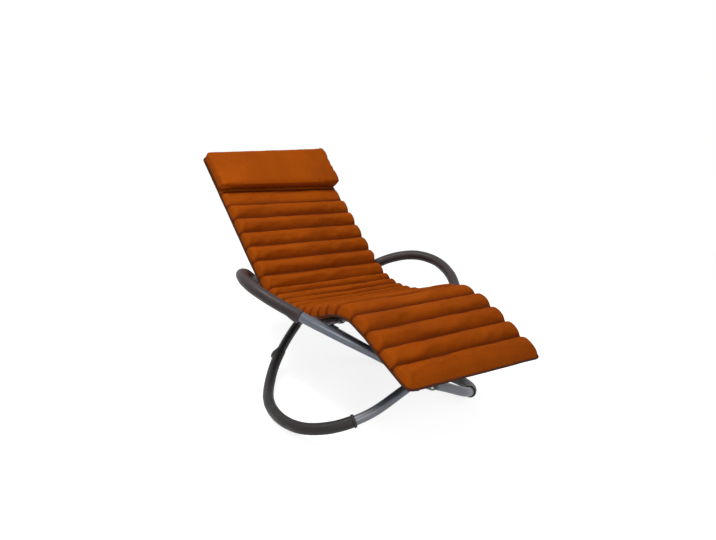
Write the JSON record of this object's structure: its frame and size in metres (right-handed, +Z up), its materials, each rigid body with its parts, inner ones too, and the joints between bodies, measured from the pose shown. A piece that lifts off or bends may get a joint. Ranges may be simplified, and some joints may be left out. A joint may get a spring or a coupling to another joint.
{
  "type": "rocking chaise lounge",
  "caption": "Long lounge chair with a ribbed roll cushion and head pillow on a bent frame, carried by crossed tubular hoops that form the armrests and the rockers",
  "frame": {"origin": "on the ground, under the middle of the overall length and width", "axes": "+X toward the feet, +Y toward the sitter's left hand, +Z up"},
  "size_m": [1.3163, 0.8696, 0.8015],
  "materials": {
    "hoop_tube": "satin silver-grey",
    "frame_tube": "satin grey-brown",
    "steel": "zinc plated",
    "arm_sleeve": "matt foam rubber",
    "rocker_rubber": "matt rubber",
    "plastic": "moulded",
    "sling_mesh": "woven",
    "cushion_cloth": "brushed canvas",
    "strap_web": "webbing"
  },
  "bodies": {
    "seat": {"spine_tube": "frame_tube", "rear_post_saddle": "frame_tube", "rear_post": "frame_tube", "front_post_saddle": "frame_tube", "front_post": "frame_tube", "left_side_rail": "frame_tube", "right_side_rail": "frame_tube", "head_cross_bar": "frame_tube", "hip_cross_bar": "frame_tube", "knee_cross_bar": "frame_tube", "foot_cross_bar": "frame_tube", "left_head_plug": "plastic", "left_foot_plug": "plastic", "right_head_plug": "plastic", "right_foot_plug": "plastic", "left_rail_lug": "frame_tube", "right_rail_lug": "frame_tube", "front_spine_washer": "steel", "front_spine_insert": "steel", "front_pivot_washer": "steel", "front_pivot_bolt": "steel", "front_bolt_cap": "plastic", "rear_spine_washer": "steel", "rear_spine_insert": "steel", "rear_pivot_washer": "steel", "rear_pivot_bolt": "steel", "rear_bolt_cap": "plastic", "sling": "sling_mesh", "roll_cushion": "cushion_cloth", "head_pillow": "cushion_cloth", "pillow_strap": "strap_web", "back_band": "strap_web", "leg_band": "strap_web"},
    "inner_hoop": {"left_arm_bow": "hoop_tube", "left_arm_sleeve": "arm_sleeve", "left_arm_front_coupler": "frame_tube", "left_arm_rear_coupler": "frame_tube", "left_arm_bracket": "frame_tube", "right_rocker_bow": "hoop_tube", "right_rocker_sleeve": "rocker_rubber", "right_rocker_lip": "rocker_rubber", "right_stop_block": "rocker_rubber", "front_inner_disc": "steel", "rear_inner_disc": "steel"},
    "outer_hoop": {"right_arm_bow": "hoop_tube", "right_arm_sleeve": "arm_sleeve", "right_arm_front_coupler": "frame_tube", "right_arm_rear_coupler": "frame_tube", "right_arm_bracket": "frame_tube", "left_rocker_bow": "hoop_tube", "left_rocker_sleeve": "rocker_rubber", "left_rocker_lip": "rocker_rubber", "left_stop_block": "rocker_rubber", "front_outer_disc": "steel", "rear_outer_disc": "steel"}
  },
  "joints": [
    {"name": "inner_hoop_fold", "type": "hinge", "parent": "seat", "child": "inner_hoop", "pos_m": [0, 0, 0.1915], "axis": [-1, 0, 0], "range_deg": [0, 18]},
    {"name": "outer_hoop_fold", "type": "hinge", "parent": "seat", "child": "outer_hoop", "pos_m": [0, 0, 0.1915], "axis": [1, 0, 0], "range_deg": [0, 18]}
  ],
  "couplings": [
    {"joint": "outer_hoop_fold", "follows": "inner_hoop_fold", "ratio": 1}
  ]
}
